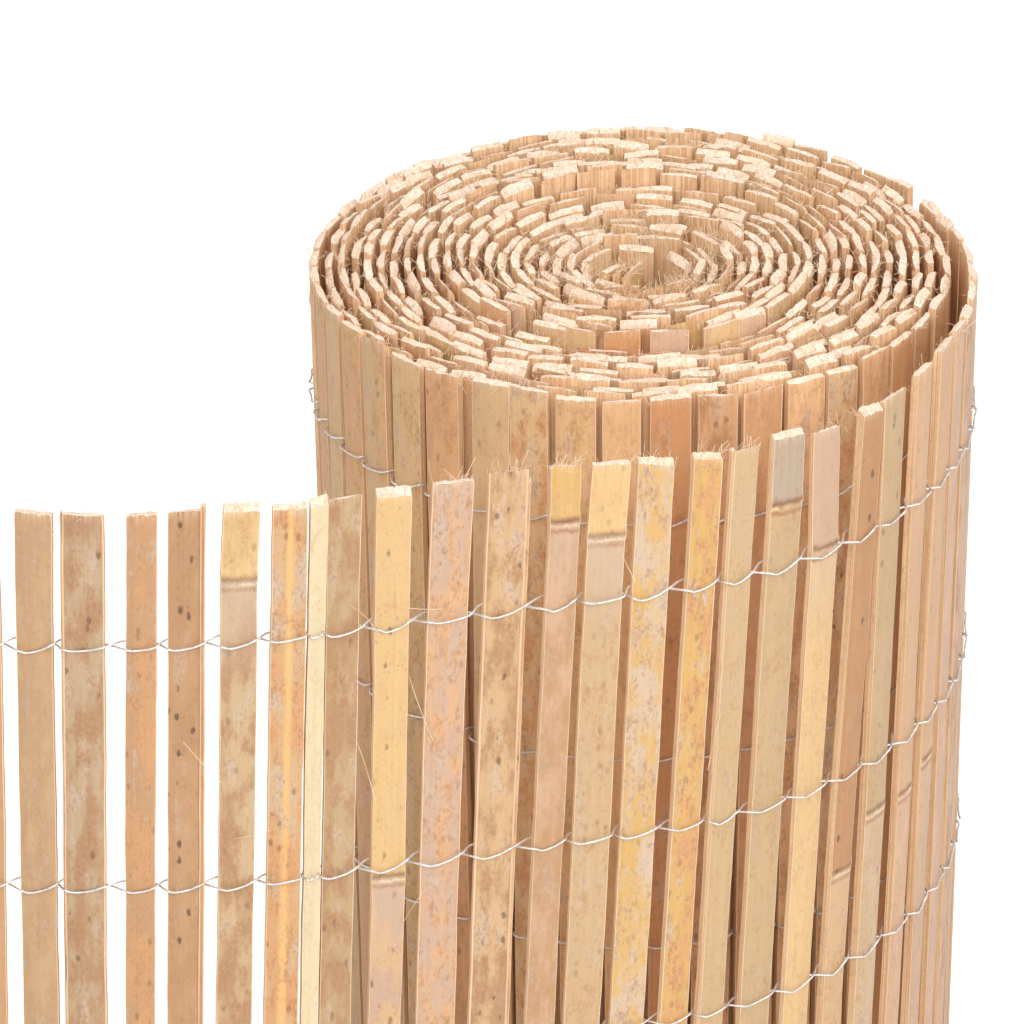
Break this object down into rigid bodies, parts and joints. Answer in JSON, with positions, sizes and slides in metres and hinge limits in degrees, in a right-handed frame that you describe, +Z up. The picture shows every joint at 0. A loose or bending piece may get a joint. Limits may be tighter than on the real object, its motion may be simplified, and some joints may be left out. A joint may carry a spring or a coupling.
{
  "type": "bamboo border fence",
  "caption": "Roll of split-bamboo slats on twisted wire, standing on end with its outer end led off along the front, used as low garden edging",
  "frame": {"origin": "on the floor, on the roll's own axis", "axes": "+Z up along the slats, -Y the front that the led-off end covers, -X the way that end runs"},
  "size_m": [0.4279, 0.3471, 0.3543],
  "materials": {
    "bamboo": "split bamboo, weathered, matt to lightly waxy skin",
    "wire": "galvanised"
  },
  "bodies": {
    "root": {"core": "bamboo", "flap": "bamboo", "turn_01": "bamboo", "turn_02": "bamboo", "turn_03": "bamboo", "turn_04": "bamboo", "turn_05": "bamboo", "turn_06": "bamboo", "turn_07": "bamboo", "turn_08": "bamboo", "turn_09": "bamboo", "turn_10": "bamboo", "turn_11": "bamboo", "turn_12": "bamboo", "turn_13": "bamboo", "turn_14": "bamboo", "turn_15": "bamboo", "turn_16": "bamboo", "turn_17": "bamboo", "turn_18": "bamboo", "turn_19": "bamboo", "turn_20": "bamboo", "wire_row_bottom": "wire", "wire_row_middle": "wire", "wire_row_top": "wire"}
  },
  "joints": []
}
